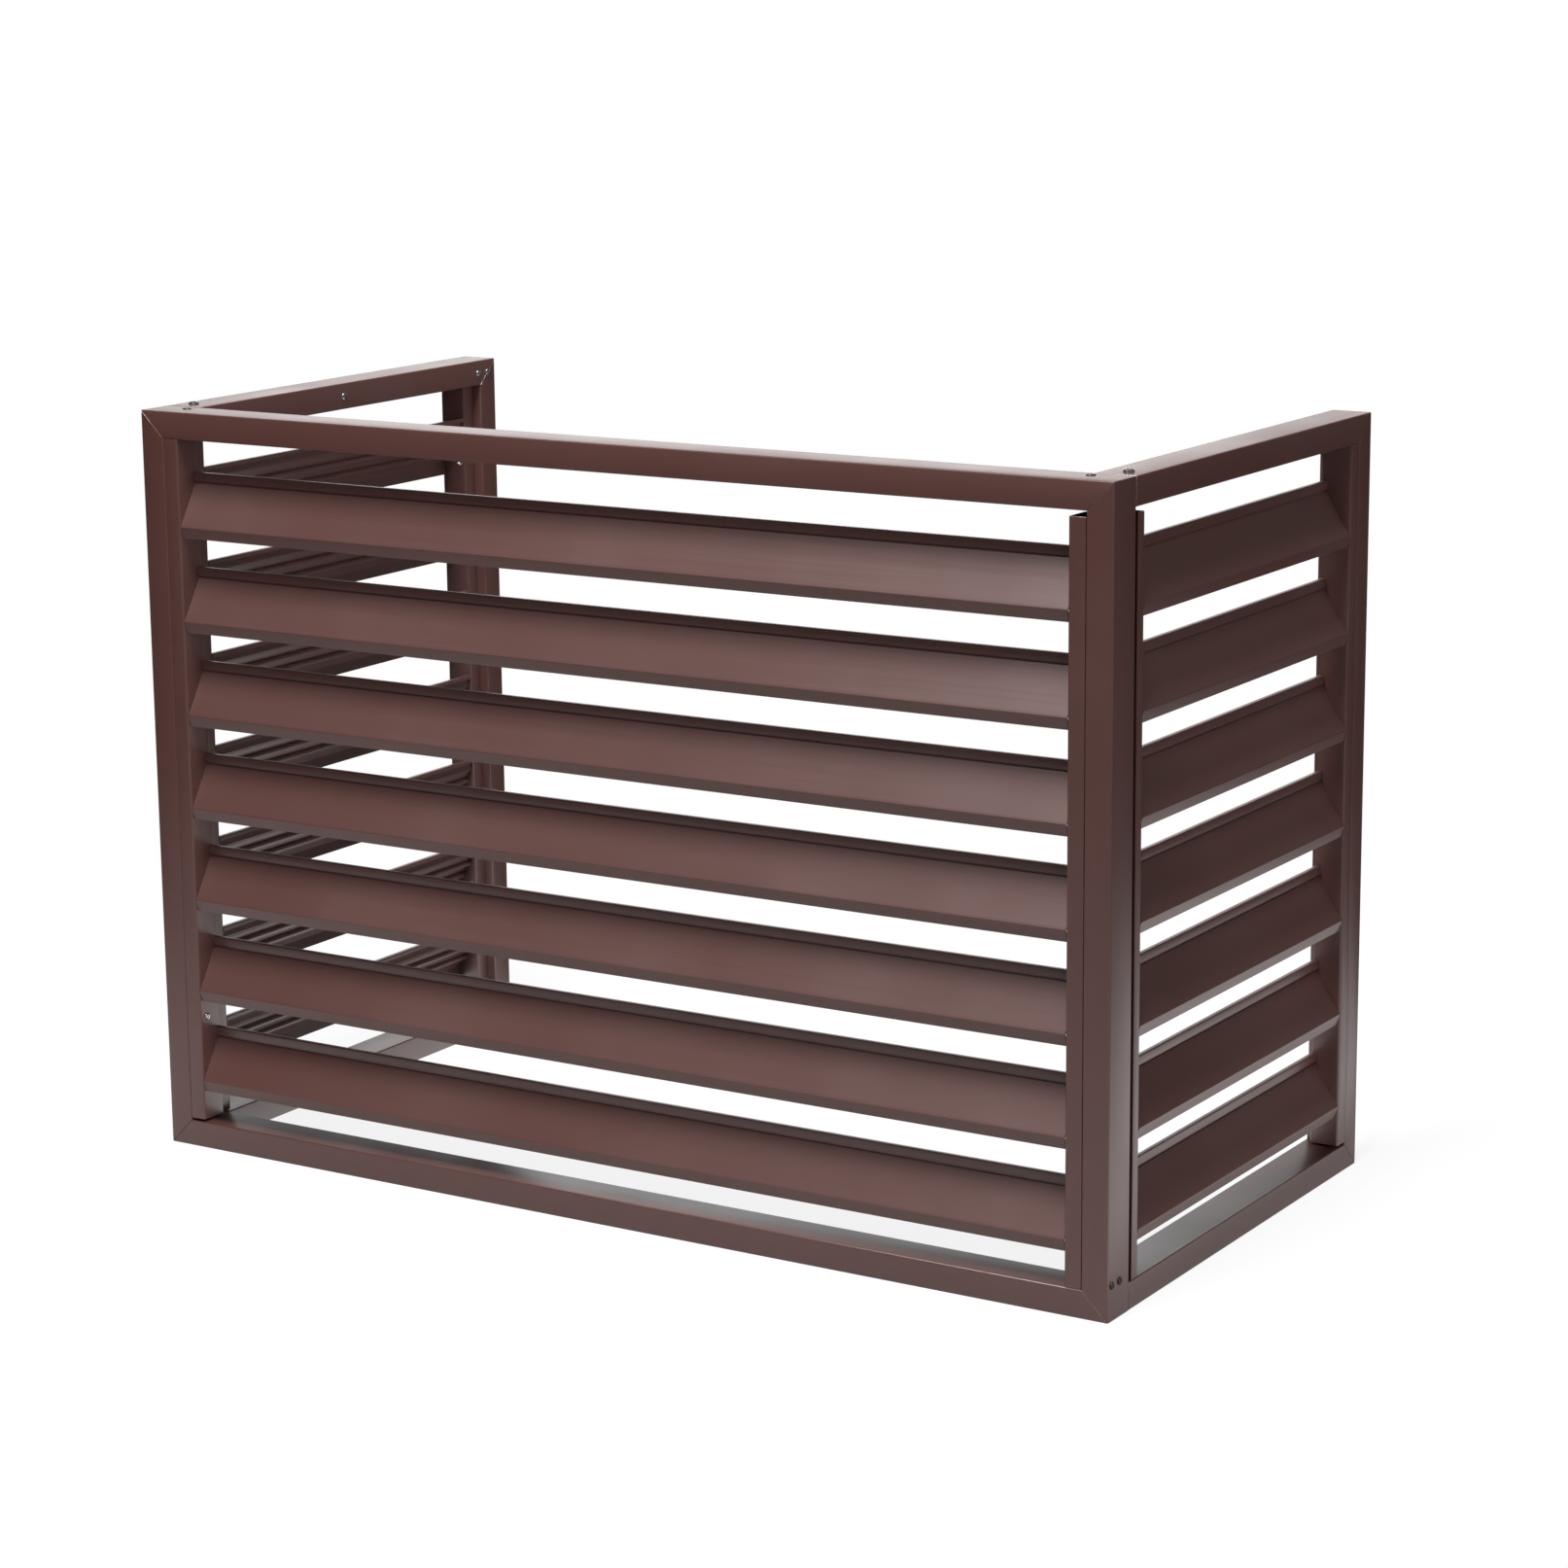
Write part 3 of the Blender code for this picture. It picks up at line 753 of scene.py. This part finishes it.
def grow(name, tree, values, mesh):
    """Runs a tree on a mesh and returns the plain mesh that it makes."""
    seed = bpy.data.objects.new(name, mesh)
    bpy.context.scene.collection.objects.link(seed)
    modifier = seed.modifiers.new(name, "NODES")
    modifier.node_group = tree
    for item in tree.interface.items_tree:
        if item.in_out == "INPUT" and item.name in values:
            modifier[item.identifier] = values[item.name]
    evaluated = seed.evaluated_get(bpy.context.evaluated_depsgraph_get())
    made = bpy.data.meshes.new_from_object(evaluated)
    bpy.data.objects.remove(seed)
    return made


# %% The tree for a row of blades
BLADE_MERGE = 0.000002


def blade_row_tree():
    tree, nodes, given = geometry_tree("row of louvre blades", {
        "Section": "Object",
        "Length": "Float",
        "Count": "Int",
        "Pitch": "Float",
        "Top": "Vector",
        "Coating": "Material",
    })
    drawn = nodes.add("GeometryNodeObjectInfo", {}, {"Object": given["Section"]}, "Geometry")
    filled = nodes.add("GeometryNodeFillCurve", {"mode": "TRIANGLES"}, {"Curve": drawn})
    pushed = nodes.add(
        "GeometryNodeExtrudeMesh", {}, {"Mesh": filled, "Offset Scale": given["Length"], "Individual": False}
    )
    near_end = nodes.add("GeometryNodeFlipFaces", {}, {"Mesh": filled})
    joined = nodes.add("GeometryNodeJoinGeometry", {}, {"Geometry": [pushed, near_end]})
    slat = nodes.add("GeometryNodeMergeByDistance", {}, {"Geometry": joined, "Distance": BLADE_MERGE})
    middle = nodes.add("ShaderNodeCombineXYZ", {}, {"Z": given["Length"] * -0.5})
    centred = nodes.add("GeometryNodeTransform", {}, {"Geometry": slat, "Translation": middle})
    lie_down = (QUARTER_TURN, 0, QUARTER_TURN)
    lying = nodes.add("GeometryNodeTransform", {}, {"Geometry": centred, "Rotation": lie_down})
    step = nodes.add("ShaderNodeCombineXYZ", {}, {"Z": given["Pitch"] * -1})
    line = nodes.add(
        "GeometryNodeMeshLine", {}, {"Count": given["Count"], "Start Location": given["Top"], "Offset": step}
    )
    copies = nodes.add("GeometryNodeInstanceOnPoints", {}, {"Points": line, "Instance": lying})
    solid = nodes.add("GeometryNodeRealizeInstances", {}, {"Geometry": copies})
    place = nodes.add("GeometryNodeInputPosition", {}, {})
    grained = nodes.add(
        "GeometryNodeStoreNamedAttribute",
        {"data_type": "FLOAT_VECTOR", "domain": "POINT"},
        {"Geometry": solid, "Name": "grain", "Value": place},
    )
    coated = nodes.add("GeometryNodeSetMaterial", {}, {"Geometry": grained, "Material": given["Coating"]})
    close_tree(tree, coated)
    return tree


# %% Three rows of blades
highest = HEIGHT - TUBE_FACE - HEAD_OPENING
lowest = TUBE_FACE + FOOT_OPENING + NOSE_DROP + STRIP_DROP
blade_count = round((highest - lowest) / BLADE_PITCH) + 1
blade_pitch = (highest - lowest) / (blade_count - 1)
blade_tree = blade_row_tree()

for panel, (low, high) in JAMB_SPANS.items():
    mesh = grow(f"{panel} blades", blade_tree, {
        "Section": section,
        "Length": high - low - 2 * (JAMB_REACH + GAP),
        "Count": blade_count,
        "Pitch": blade_pitch,
        "Top": ((low + high) / 2, 0, highest),
        "Coating": blade_coating,
    }, bpy.data.meshes.new(f"{panel} blades"))
    mesh.transform(PANEL_PLACES[panel])
    stood_for = [f"{panel}_blade_{number}" for number in range(1, blade_count + 1)]
    show_piece(f"{panel}_blades", mesh, blade_coating, stood_for)
    print(panel, "blades", len(mesh.polygons), "faces")

bpy.data.objects.remove(section)

# %% [markdown]
# ## Screws
# The screws repeat, so they also come from Geometry Nodes: one head is modelled well, and a tree puts it
# on points that say which way is out. A random spin from a fixed seed turns the cross slots differently,
# as a hand driver leaves them. The head is a turned profile with a cross recess cut into it.

# %% One screw with a cross recess
SCREW_SIDES = 24
DOME_STEPS = 5
PAN_SIZES = (0.00475, 0.0026, 0.0022, 0.012)
SMALL_SIZES = (0.0034, 0.0015, 0.0016, 0.010)
FLUSH_SIZES = (0.0042, 0.0008, 0.0020, 0.010)
RIM_SHARE = 0.25
DOME_POWER = 0.7
SCREW_MERGE = 0.000005


def turned_profile(sizes):
    head_radius, head_height, shank_radius, shank_length = sizes
    rim = head_height * RIM_SHARE
    points = []
    for step in range(DOME_STEPS + 1):
        turn = QUARTER_TURN * step / DOME_STEPS
        height = rim + (head_height - rim) * math.cos(turn) ** DOME_POWER
        points.append((head_radius * math.sin(turn), height))
    return points + [(head_radius, 0), (shank_radius, 0), (shank_radius, -shank_length), (0, -shank_length)]


def screw_mesh(sizes):
    """Screw along z with the underside of its head at z = 0."""
    profile = turned_profile(sizes)
    solid = bmesh.new()
    vertices = [solid.verts.new((radius, 0, height)) for radius, height in profile]
    edges = [solid.edges.new(pair) for pair in zip(vertices, vertices[1:])]
    bmesh.ops.spin(
        solid,
        geom=vertices + edges,
        cent=(0, 0, 0),
        axis=(0, 0, 1),
        angle=2 * math.pi,
        steps=SCREW_SIDES,
        use_duplicate=False,
    )
    bmesh.ops.remove_doubles(solid, verts=solid.verts, dist=SCREW_MERGE)
    bmesh.ops.recalc_face_normals(solid, faces=solid.faces)
    return close_solid(solid, "turned screw")


# %% Cross recess
WING_REACH = 0.56
WING_WIDTH = 0.15
WING_TAPER = 0.45
RECESS_FLOOR = 0.25
RECESS_TOP = 1.2


def cross_mesh(sizes):
    """Two crossed wings that narrow downward, to be cut out of the head."""
    head_radius, head_height = sizes[:2]
    solid = bmesh.new()
    for turn in (0, QUARTER_TURN):
        made = bmesh.ops.create_cube(solid, size=2)["verts"]
        for vertex in made:
            above = vertex.co.z > 0
            spread = head_radius * (1.0 if above else WING_TAPER)
            height = head_height * (RECESS_TOP if above else RECESS_FLOOR)
            vertex.co = Vector((vertex.co.x * WING_REACH * spread, vertex.co.y * WING_WIDTH * spread, height))
        bmesh.ops.rotate(solid, verts=made, cent=(0, 0, 0), matrix=Matrix.Rotation(turn, 3, "Z"))
    return close_solid(solid, "cross recess")


# %% The tree for the screws
def screws_tree():
    tree, nodes, given = geometry_tree("screws on points", {
        "Screw": "Object",
        "Recess": "Object",
        "Seed": "Int",
        "Plating": "Material",
    })
    body = nodes.add("GeometryNodeObjectInfo", {}, {"Object": given["Screw"]}, "Geometry")
    cross = nodes.add("GeometryNodeObjectInfo", {}, {"Object": given["Recess"]}, "Geometry")
    head = nodes.add(
        "GeometryNodeMeshBoolean",
        {"operation": "DIFFERENCE", "solver": "EXACT"},
        {"Mesh 1": body, "Mesh 2": [cross], "Self Intersection": True},
    )
    outward = nodes.add(
        "GeometryNodeInputNamedAttribute",
        {"data_type": "FLOAT_VECTOR"},
        {"Name": "outward"},
        "Attribute",
    )
    facing = nodes.add("FunctionNodeAlignRotationToVector", {"axis": "Z"}, {"Vector": outward})
    spin = nodes.add(
        "FunctionNodeRandomValue",
        {"data_type": "FLOAT"},
        {"Min": 0.0, "Max": math.pi, "Seed": given["Seed"]},
        "Value",
    )
    spun = nodes.add("ShaderNodeCombineXYZ", {}, {"Z": spin})
    turned = nodes.add(
        "FunctionNodeRotateRotation",
        {"rotation_space": "LOCAL"},
        {"Rotation": facing, "Rotate By": spun},
    )
    copies = nodes.add(
        "GeometryNodeInstanceOnPoints",
        {},
        {"Points": given["Geometry"], "Instance": head, "Rotation": turned},
    )
    solid = nodes.add("GeometryNodeRealizeInstances", {}, {"Geometry": copies})
    plated = nodes.add("GeometryNodeSetMaterial", {}, {"Geometry": solid, "Material": given["Plating"]})
    close_tree(tree, plated)
    return tree


# %% [markdown]
# Where the screws go, in each panel's own x, y and z, with the way out of the surface. The pan heads
# stand on the side rails, and flat ones on the front rail. Two small ones sit low on each front stile and
# in each rear corner, over the corner cleats, and a bright one in the middle of each side rail. The jambs
# are fixed by two screws each, high and low beside the blades, and each blade is held at both ends by two
# screws whose heads hide inside the jamb.

# %% Places of the screws
PAN_SETBACK = 0.018
PAN_INSET = 0.016
STILE_SCREW_RISE = 0.0065
STILE_SCREW_INSET = 0.0065
STILE_SCREW_PITCH = 0.014
REAR_SCREW_PITCH = 0.016
RAIL_SCREW_INSET = 0.034
RAIL_SCREW_DEPTH = 0.025
MIDDLE_SCREW_SHIFT = 0.002
JAMB_SCREWS = {
    "front": ((0.0090, 0.127), (0.0217, 0.598)),
    "left": ((0.0217, 0.157), (0.0217, 0.598)),
    "right": ((0.0217, 0.157), (0.0217, 0.598)),
}

UP, INWARD = Vector((0, 0, 1)), Vector((0, 1, 0))


def corner_places():
    """Places of the screws on the frame, by the kind of screw."""
    pans, bright, dark, flush = [], [], [], []
    rail_middles = (TUBE_FACE / 2, HEIGHT - TUBE_FACE / 2)
    for side, sign in (("left", -1), ("right", 1)):
        out = Vector((sign, 0, 0))
        pans.append((side, (sign * (PAN_SETBACK - SIDE_HALF), PAN_INSET, HEIGHT), UP))
        flush.append(("front", (sign * (half_width - RAIL_SCREW_INSET), RAIL_SCREW_DEPTH, HEIGHT), UP))
        middle = sign * (MIDDLE_SCREW_SHIFT - side_middle)
        bright.append((side, (middle, TUBE_DEPTH, rail_middles[1]), INWARD))
        for number in range(2):
            inset = STILE_SCREW_INSET + STILE_SCREW_PITCH * number
            dark.append(("front", (sign * half_width, inset, TUBE_FACE + STILE_SCREW_RISE), out))
            setback = TUBE_FACE / 2 + REAR_SCREW_PITCH * number
            for height in rail_middles:
                bright.append((side, (sign * (SIDE_HALF - setback), TUBE_DEPTH, height), INWARD))
    return pans, bright, dark, flush


def jamb_places():
    """Places of the screws that fix the jambs, and of those that hold the blades."""
    fixing, holding = [], []
    for panel, (low, high) in JAMB_SPANS.items():
        for foot, side in ((low + GAP, 1), (high - GAP, -1)):
            web = foot + side * (JAMB_REACH - GAP)
            lining = web - side * JAMB_WALL
            for depth, height in JAMB_SCREWS[panel]:
                fixing.append((panel, (web, depth, height), Vector((side, 0, 0))))
            for blade in range(blade_count):
                for share in PORT_PLACE_SHARES:
                    depth, drop = port_centre(share)
                    height = highest - blade * blade_pitch + drop
                    holding.append((panel, (lining, depth, height), Vector((-side, 0, 0))))
    return fixing, holding


# %% Put the screws in
def screw_points(places):
    mesh = bpy.data.meshes.new("screw places")
    spots = [PANEL_PLACES[panel] @ (Vector(place) + out * GAP) for panel, place, out in places]
    mesh.from_pydata(spots, [], [])
    outward = mesh.attributes.new("outward", "FLOAT_VECTOR", "POINT")
    for item, (panel, place, out) in zip(outward.data, places):
        item.vector = PANEL_PLACES[panel].to_3x3() @ out
    return mesh


def drive_screws(name, places, sizes, plating, replaced, seed):
    tools = []
    for label, mesh in (("screw", screw_mesh(sizes)), ("recess", cross_mesh(sizes))):
        tools.append(bpy.data.objects.new(label, mesh))
        bpy.context.scene.collection.objects.link(tools[-1])
    values = {"Screw": tools[0], "Recess": tools[1], "Seed": seed, "Plating": plating}
    made = grow(name, screw_tree, values, screw_points(places))
    for tool in tools:
        bpy.data.objects.remove(tool)
    show_piece(name, made, plating, replaced)
    print(name, len(places), "screws,", len(made.polygons), "faces")


screw_tree = screws_tree()
pans, bright, dark, flush = corner_places()
fixing, holding = jamb_places()
pan_nodes = ["left_top_rail_screw", "right_top_rail_screw"]
rear_nodes = [f"{side}_rear_screw_{number}" for side in ("left", "right") for number in (1, 2)]
stile_nodes = [f"{side}_stile_screw_{number}" for side in ("left", "right") for number in (1, 2)]
drive_screws("rail_pan_screws", pans, PAN_SIZES, zinc_steel, pan_nodes, 3)
drive_screws("rear_corner_screws", bright, SMALL_SIZES, zinc_steel, rear_nodes, 5)
drive_screws("dark_frame_screws", dark, SMALL_SIZES, dark_steel, stile_nodes, 7)
drive_screws("flush_rail_screws", flush, FLUSH_SIZES, dark_steel, [], 9)
drive_screws("jamb_fixing_screws", fixing, SMALL_SIZES, zinc_steel, [], 11)
drive_screws("blade_end_screws", holding, SMALL_SIZES, zinc_steel, [], 13)

# %% [markdown]
# ## Floor
# The photograph shows the screen on pure white. The floor is a plain pale disc for the camera. Near the
# screen it is partly a real matt floor, so that it keeps the screen's soft shadow and throws light back on
# the lower parts. Further out it blends into the white backdrop, while its matt colour darkens into painted
# shade, so that the far floor throws little light back. Mirror rays see painted light and shade on the floor:
# painted pools of light beside and inside the screen, a painted shadow of the screen behind it, and a glow
# that fades with distance.

# %% Pale floor
FLOOR_RADIUS = 9.0
FLOOR_SIDES = 96
FLOOR_SHADE = (0.85, 0.85, 0.85, 1.0)
FAR_PAINTED_SHADE = (0.06, 0.06, 0.06, 1.0)
PAINTED_SHADE_FADE = (0.70, 1.35)
BACKDROP_SHARE = 0.87
BACKDROP_FADE = (0.50, 1.00)
WHITE = (1.0, 1.0, 1.0, 1.0)

solid = bmesh.new()
bmesh.ops.create_circle(solid, cap_ends=True, segments=FLOOR_SIDES, radius=FLOOR_RADIUS)
floor = bpy.data.objects.new("pale floor", close_solid(solid, "pale floor"))
bpy.context.scene.collection.objects.link(floor)

material = bpy.data.materials.new("pale floor")
material.use_nodes = True
nodes = Nodes(material.node_tree)
material.node_tree.nodes.remove(material.node_tree.nodes["Principled BSDF"])
place = nodes.add("ShaderNodeTexCoord", output="Object")
away = nodes.add("ShaderNodeVectorMath", {"operation": "LENGTH"}, {0: place}, output="Value")
# Painted shade: the matt floor goes from pale near the screen to nearly black further out. It stands in for
# lamp light that falls off away from the screen.
shade = nodes.blend(nodes.slope(away, *PAINTED_SHADE_FADE), FLOOR_SHADE, FAR_PAINTED_SHADE)
matt = nodes.add("ShaderNodeBsdfDiffuse", {}, {"Color": shade})

# %% What mirror rays see of the floor
# The glows are strengths of painted light on the floor, seen by mirror rays. The ranges are in metres, from
# the middle of the floor or from the right panel.
FRONT_GLOW = 0.46
LEFT_GLOW = 0.3
RIGHT_SIDE_GLOW = 0.9
GLOW_FADE = (0.8, 1.9)
RIGHT_FADE = (0.25, 0.85)
LEFT_BAND = (0.3, 0.7)
RIGHT_BAND = (0.03, 0.12)
INSIDE_FRONT = (-0.25, -0.15)
INSIDE_REAR = (0.25, 0.45)
INSIDE_RIGHT = (-0.1, 0.0)
BACK_LEFT = (-0.64, 0.77, 0.0)
PAINTED_SHADOW_RANGE = (0.10, 0.32)
PAINTED_SHADOW_SHIFT = 0.36
PAINTED_SHADOW_SHIFT_BAND = (-0.15, -0.05)

across, deep = nodes.axes(place)[:2]
beside = across - half_width
shift = PAINTED_SHADOW_SHIFT * (1 - nodes.slope(beside, *PAINTED_SHADOW_SHIFT_BAND))
# Painted shadow: for mirror rays the floor behind the screen is darkened, where the screen's shade falls.
dim = nodes.slope(nodes.toward(place, BACK_LEFT) - shift, *PAINTED_SHADOW_RANGE)
# Painted light: for mirror rays the floor in front, inside the screen and beside its side panels is brighter.
inside = nodes.slope(deep, *INSIDE_FRONT) * (1 - nodes.slope(deep, *INSIDE_REAR))
inside = inside * (1 - nodes.slope(beside, *INSIDE_RIGHT))
left_side = LEFT_GLOW * nodes.slope(0 - across, *LEFT_BAND)
right_side = RIGHT_SIDE_GLOW * nodes.slope(beside, *RIGHT_BAND)
close = (FRONT_GLOW + left_side + right_side + inside) * (1 - nodes.slope(beside, *RIGHT_FADE))
fading = (1 - nodes.slope(away, *GLOW_FADE)) * (1 - dim) * close

# %% Floor and backdrop in one
seen, mirrored = nodes.rays()
backdrop = nodes.add("ShaderNodeEmission", {}, {"Color": WHITE, "Strength": seen + mirrored * fading})
far = nodes.slope(away, *BACKDROP_FADE)
share = seen * (BACKDROP_SHARE + (1 - BACKDROP_SHARE) * far) + mirrored
mixed = nodes.add("ShaderNodeMixShader", {}, {0: share, 1: matt, 2: backdrop})
nodes.tree.links.new(mixed.socket, nodes.tree.nodes["Material Output"].inputs["Surface"])
floor.data.materials.append(material)
print("floor radius", FLOOR_RADIUS)

# %% [markdown]
# ## World
# For the camera the world is plain white. For mirror rays it is a studio: a white sweep low behind the
# screen, weaker toward its two ends, and dim room in front and above. That is why the tops of the rails
# shine pale in the photograph, while the upright faces stay deep brown. For matt light it is a faint even
# grey with a low glow from the right.

# %% World
# The ranges are shares of a direction. Those of the two ends are its way to the left against its way back.
AMBIENT = 0.06
RIGHT = (0.98, -0.17, 0.0)
RIGHT_GLOW = 3.0
RIGHT_GLOW_RANGE = (0.0, 0.8)
RIGHT_GLOW_HEIGHT = (0.2, 0.6)
ROOM = 0.02
SWEEP = 1.28
SWEEP_SIDE = (-0.55, 0.83, 0.0)
SWEEP_RANGE = (0.60, 0.98)
SWEEP_HEIGHT = (0.25, 0.50)
SWEEP_LEFT_END = (0.74, 0.88)
SWEEP_RIGHT_END = (0.40, 0.62)
END_FADE = 0.58
HORIZON = (-0.02, 0.0)

world = bpy.data.worlds.new("studio")
world.use_nodes = True
bpy.context.scene.world = world
nodes = Nodes(world.node_tree)
place = nodes.add("ShaderNodeTexCoord", output="Generated")
rightward, backward, rise = nodes.axes(place)
leftward = (0 - rightward) / backward
ends = nodes.slope(leftward, *SWEEP_LEFT_END) + 1 - nodes.slope(leftward, *SWEEP_RIGHT_END)
behind = nodes.slope(nodes.toward(place, SWEEP_SIDE), *SWEEP_RANGE) * (1 - END_FADE * ends)
low = (1 - nodes.slope(rise, *SWEEP_HEIGHT)) * nodes.slope(rise, *HORIZON)
studio = ROOM + (SWEEP - ROOM) * (behind * low)
glow = nodes.slope(nodes.toward(place, RIGHT), *RIGHT_GLOW_RANGE)
ambient = AMBIENT + RIGHT_GLOW * glow * (1 - nodes.slope(rise, *RIGHT_GLOW_HEIGHT))
seen, mirrored = nodes.rays()
strength = seen + mirrored * studio + (1 - seen - mirrored) * ambient
background = world.node_tree.nodes["Background"]
background.inputs["Color"].default_value = WHITE
nodes.plug(background.inputs["Strength"], strength)
print("ambient light", AMBIENT)

# %% [markdown]
# ## Lamps
# One large softbox above and in front of the screen is the main light. It shines on the faces of the
# blades, which lean back to it, and fades toward the left and toward the lower blades. A weak reflector
# stands in front, and a long low strip behind lights the tops of the rails.

# %% Softboxes
def softbox(name, place, target, size, radiance):
    """Rectangular lamp at a place, aimed at another."""
    lamp = bpy.data.lights.new(name, "AREA")
    lamp.shape = "RECTANGLE"
    lamp.size, lamp.size_y = size
    lamp.energy = radiance * math.pi * size[0] * size[1]
    holder = bpy.data.objects.new(name, lamp)
    bpy.context.scene.collection.objects.link(holder)
    holder.location = place
    holder.rotation_mode = "QUATERNION"
    holder.rotation_quaternion = (Vector(place) - Vector(target)).to_track_quat("Z", "Y")
    holder.visible_camera = False
    return holder


softbox(
    "overhead softbox", place=(0.20, -1.45, 3.85), target=(0.05, -0.25, 0.35), size=(1.4, 1.3), radiance=53.0
)
softbox(
    "front reflector", place=(-0.35, -2.10, 1.60), target=(0.10, -0.25, 0.40), size=(1.1, 1.2), radiance=0.4
)
softbox(
    "low strip behind", place=(-1.80, 2.70, 1.45), target=(0, 0, 0.6), size=(3.0, 0.6), radiance=2.0
)
print("lamps", [light.name for light in bpy.data.lights])

# %% [markdown]
# ## View transform
# The view transform is Standard, so a colour renders about as it is written.

# %% Finish
bpy.context.scene.view_settings.view_transform = "Standard"
